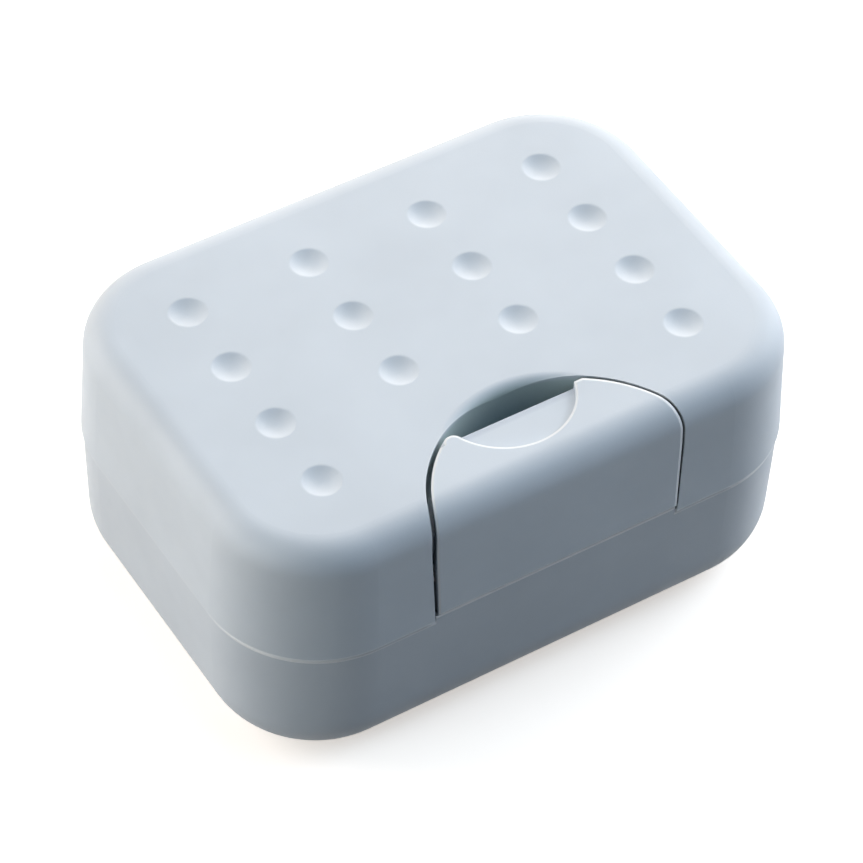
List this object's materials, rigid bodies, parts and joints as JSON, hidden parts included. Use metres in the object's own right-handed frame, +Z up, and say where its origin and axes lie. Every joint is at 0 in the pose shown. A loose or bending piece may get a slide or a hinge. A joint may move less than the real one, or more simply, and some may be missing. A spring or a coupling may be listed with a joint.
{
  "type": "travel soap box",
  "caption": "Travel soap box with a hinged, dimpled lid, a flush latch with a thumb scoop at a finger well, and a lift-out drain rack.",
  "frame": {"origin": "middle of the flat underside of the box, under the centre of its plan without the rear hinge", "axes": "+X to the right along the length, +Y to the rear hinge, +Z up; the latch faces -Y"},
  "size_m": [0.108, 0.0832, 0.0514],
  "materials": {
    "shell": "fine satin, pale blue-grey",
    "latch": "fine satin, pale blue-grey",
    "rack": "satin, off-white",
    "pin": "drawn stainless wire"
  },
  "bodies": {
    "base": {"base_shell": "shell", "drain_rack": "rack", "hinge_pin_left": "pin", "hinge_pin_right": "pin"},
    "lid": {"lid_shell": "shell", "latch_pin_left": "pin", "latch_pin_right": "pin"},
    "latch": {"latch": "latch"}
  },
  "joints": [
    {"name": "lid_hinge", "type": "hinge", "parent": "base", "child": "lid", "pos_m": [0, 0.0418, 0.0278], "axis": [-1, 0, 0], "range_deg": [0, 115]},
    {"name": "latch_hinge", "type": "hinge", "parent": "lid", "child": "latch", "pos_m": [0, -0.03652, 0.0364], "axis": [1, 0, 0], "range_deg": [0, 32]}
  ]
}
